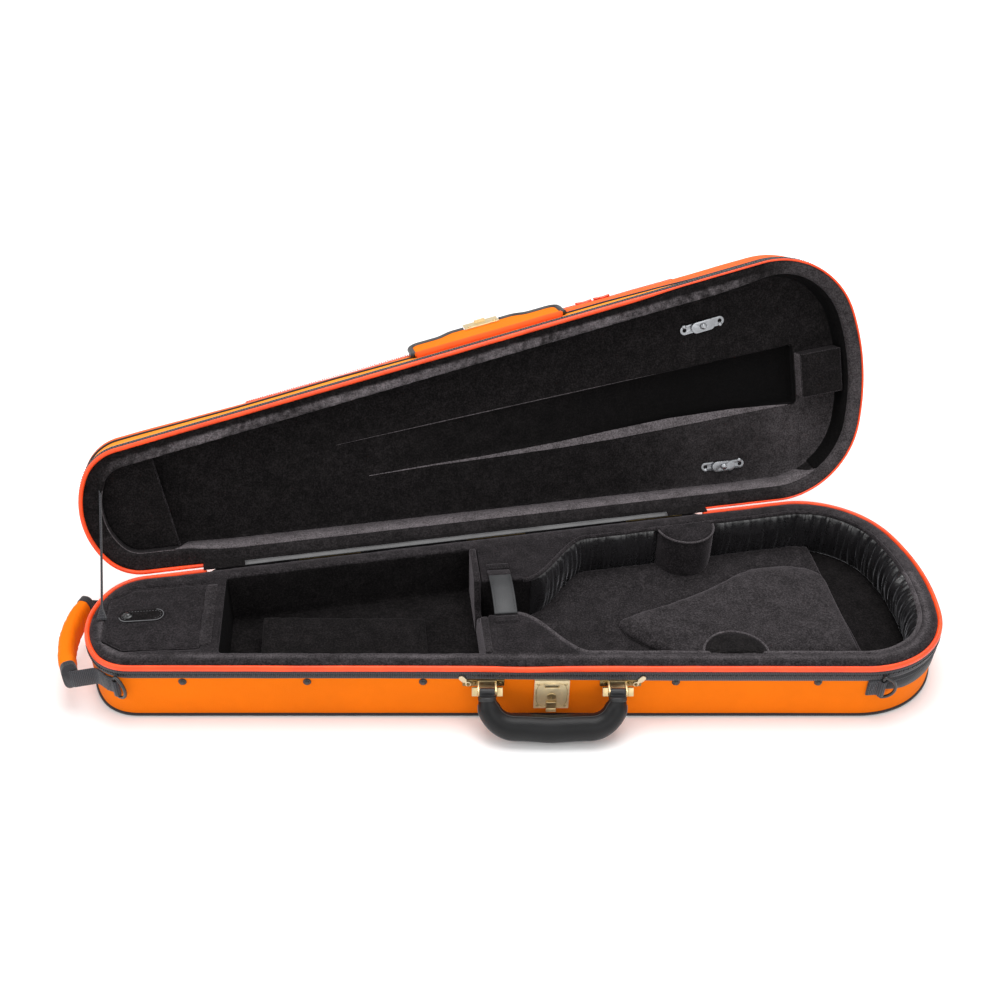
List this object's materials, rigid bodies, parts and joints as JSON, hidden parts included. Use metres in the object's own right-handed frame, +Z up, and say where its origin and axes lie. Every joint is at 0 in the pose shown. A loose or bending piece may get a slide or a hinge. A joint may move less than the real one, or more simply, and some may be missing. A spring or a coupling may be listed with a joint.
{
  "type": "violin case",
  "caption": "Dart-shaped hard violin case with a hinged padded lid, lined compartments, a swinging carry handle and an end grip.",
  "frame": {"origin": "on the resting surface under the middle of the base's outline", "axes": "+X to the wide end, -Y to the handle side, +Y to the hinge side, +Z up"},
  "size_m": [0.8157, 0.3972, 0.2978],
  "materials": {
    "orange_fabric": "woven cloth",
    "red_orange_fabric": "woven cloth",
    "orange_piping": "soft gloss",
    "black_webbing": "woven",
    "black_velvet": "velvet pile",
    "black_satin": "satin sheen",
    "dark_leather": "soft gloss grain",
    "grey_leather": "satin",
    "gold_metal": "satin",
    "bronze_metal": "dark satin",
    "silver_metal": "satin",
    "black_metal": "gloss",
    "red_metal": "gloss"
  },
  "bodies": {
    "base": {"base_shell": "orange_fabric", "base_bottom_welt": "black_webbing", "base_piping": "orange_piping", "base_zipper_tape": "black_webbing", "wide_end_gusset": "black_webbing", "base_foam": "black_velvet", "base_ledge_pad": "black_velvet", "neck_divider": "black_velvet", "neck_support_block": "black_velvet", "floor_cushion": "black_velvet", "raised_body_cushion": "black_velvet", "satin_side_padding": "black_satin", "rear_waist_post": "black_velvet", "front_waist_post": "black_velvet", "accessory_hinge_tape": "black_velvet", "neck_strap_anchor": "dark_leather", "snap_studs": "black_metal", "handle_base_plates": "bronze_metal", "handle_brackets": "gold_metal", "lock_plate": "gold_metal", "d_ring_tabs": "black_webbing", "end_grip": "orange_fabric", "end_grip_straps": "black_webbing", "hinge_base_leaves": "gold_metal", "hinge_pins": "gold_metal", "hinge_strip": "black_satin", "stay_ribbon": "black_satin"},
    "lid": {"hinge_lid_leaves": "gold_metal", "lid_shell": "orange_fabric", "lid_piping": "orange_piping", "lid_zipper_tape": "black_webbing", "lid_welts": "black_webbing", "music_pocket": "red_orange_fabric", "pocket_zipper": "red_orange_fabric", "lid_foam_ring": "black_velvet", "lid_panel": "black_velvet", "bow_tip_pocket": "black_velvet", "lid_end_cushion": "black_velvet", "toggle_plates": "silver_metal"},
    "flap": {"lid_flap": "orange_fabric", "hasp_plate": "gold_metal"},
    "accessory_lid": {"accessory_lid": "black_velvet", "accessory_pull": "dark_leather", "accessory_stud": "black_metal"},
    "neck_strap": {"neck_strap": "grey_leather"},
    "handle": {"carry_handle": "dark_leather", "handle_end_tabs": "dark_leather", "handle_pivot_lugs": "gold_metal"},
    "catch_left": {"handle_catch_left": "gold_metal"},
    "catch_right": {"handle_catch_right": "gold_metal"},
    "lock_lever": {"lock_lever": "gold_metal"},
    "lock_cylinder": {"lock_cylinder": "gold_metal"},
    "d_ring_left": {"d_ring_left": "black_metal"},
    "d_ring_right": {"d_ring_right": "black_metal"},
    "zipper_slider_left": {"zipper_slider_left": "black_metal"},
    "zipper_slider_right": {"zipper_slider_right": "black_metal"},
    "pocket_slider_left": {"pocket_slider_left": "red_metal"},
    "pocket_slider_right": {"pocket_slider_right": "red_metal"},
    "toggle_upper": {"toggle_upper": "silver_metal"},
    "toggle_lower": {"toggle_lower": "silver_metal"}
  },
  "joints": [
    {"name": "lid_hinge", "type": "hinge", "parent": "base", "child": "lid", "pos_m": [-0.00693, 0.09637, 0.0575], "axis": [-0.9953, -0.0972, 0], "range_deg": [-108, 0], "deforming": ["stay_ribbon", "hinge_strip"]},
    {"name": "flap_hinge", "type": "hinge", "parent": "lid", "child": "flap", "pos_m": [-0.01195, 0.18114, 0.23939], "axis": [-0.9706, -0.1549, -0.1841], "range_deg": [-175, 0]},
    {"name": "accessory_lid_hinge", "type": "hinge", "parent": "base", "child": "accessory_lid", "pos_m": [-0.29, 0, 0.06], "axis": [0, 1, 0], "range_deg": [0, 100]},
    {"name": "neck_strap_hinge", "type": "hinge", "parent": "base", "child": "neck_strap", "pos_m": [-0.0165, 0.036, 0.0604], "axis": [-1, 0, 0], "range_deg": [0, 95]},
    {"name": "handle_swing", "type": "hinge", "parent": "base", "child": "handle", "pos_m": [0.01508, -0.10756, 0.0397], "axis": [-0.9953, 0.0972, 0], "range_deg": [0, 105]},
    {"name": "catch_left_pivot", "type": "hinge", "parent": "base", "child": "catch_left", "pos_m": [-0.05729, -0.09245, 0.041], "axis": [-0.0972, -0.9953, 0], "range_deg": [-25, 25]},
    {"name": "catch_right_pivot", "type": "hinge", "parent": "base", "child": "catch_right", "pos_m": [0.08901, -0.10675, 0.041], "axis": [-0.0972, -0.9953, 0], "range_deg": [-25, 25]},
    {"name": "lock_release", "type": "slide", "parent": "base", "child": "lock_lever", "axis": [0, 0, 1], "range_m": [0, 0.0025], "stiffness_N_per_m": 200},
    {"name": "key_turn", "type": "hinge", "parent": "base", "child": "lock_cylinder", "pos_m": [0.01586, -0.0996, 0.0265], "axis": [-0.0972, -0.9953, 0], "range_deg": [0, 90]},
    {"name": "d_ring_left_swing", "type": "hinge", "parent": "base", "child": "d_ring_left", "pos_m": [-0.36177, -0.0619, 0.037], "axis": [0, 0, -1], "range_deg": [-15, 135]},
    {"name": "d_ring_right_swing", "type": "hinge", "parent": "base", "child": "d_ring_right", "pos_m": [0.30668, -0.12772, 0.037], "axis": [0, 0, -1], "range_deg": [-15, 135]},
    {"name": "zipper_left_slide", "type": "slide", "parent": "base", "child": "zipper_slider_left", "axis": [0.9953, 0.0972, 0], "range_m": [-0.08, 0]},
    {"name": "zipper_right_slide", "type": "slide", "parent": "base", "child": "zipper_slider_right", "axis": [-0.9953, -0.0972, 0], "range_m": [-0.055, 0]},
    {"name": "pocket_slider_left_slide", "type": "slide", "parent": "lid", "child": "pocket_slider_left", "axis": [-0.9706, -0.1549, -0.1841], "range_m": [0, 0.33]},
    {"name": "pocket_slider_right_slide", "type": "slide", "parent": "lid", "child": "pocket_slider_right", "axis": [0.9706, 0.1549, 0.1841], "range_m": [0, 0.06]},
    {"name": "upper_toggle_turn", "type": "hinge", "parent": "lid", "child": "toggle_upper", "pos_m": [0.20633, 0.20453, 0.22632], "axis": [0.0925, -0.9466, 0.309], "range_deg": [0, 90]},
    {"name": "lower_toggle_turn", "type": "hinge", "parent": "lid", "child": "toggle_lower", "pos_m": [0.23434, 0.16088, 0.08422], "axis": [0.0925, -0.9466, 0.309], "range_deg": [0, 90]}
  ]
}
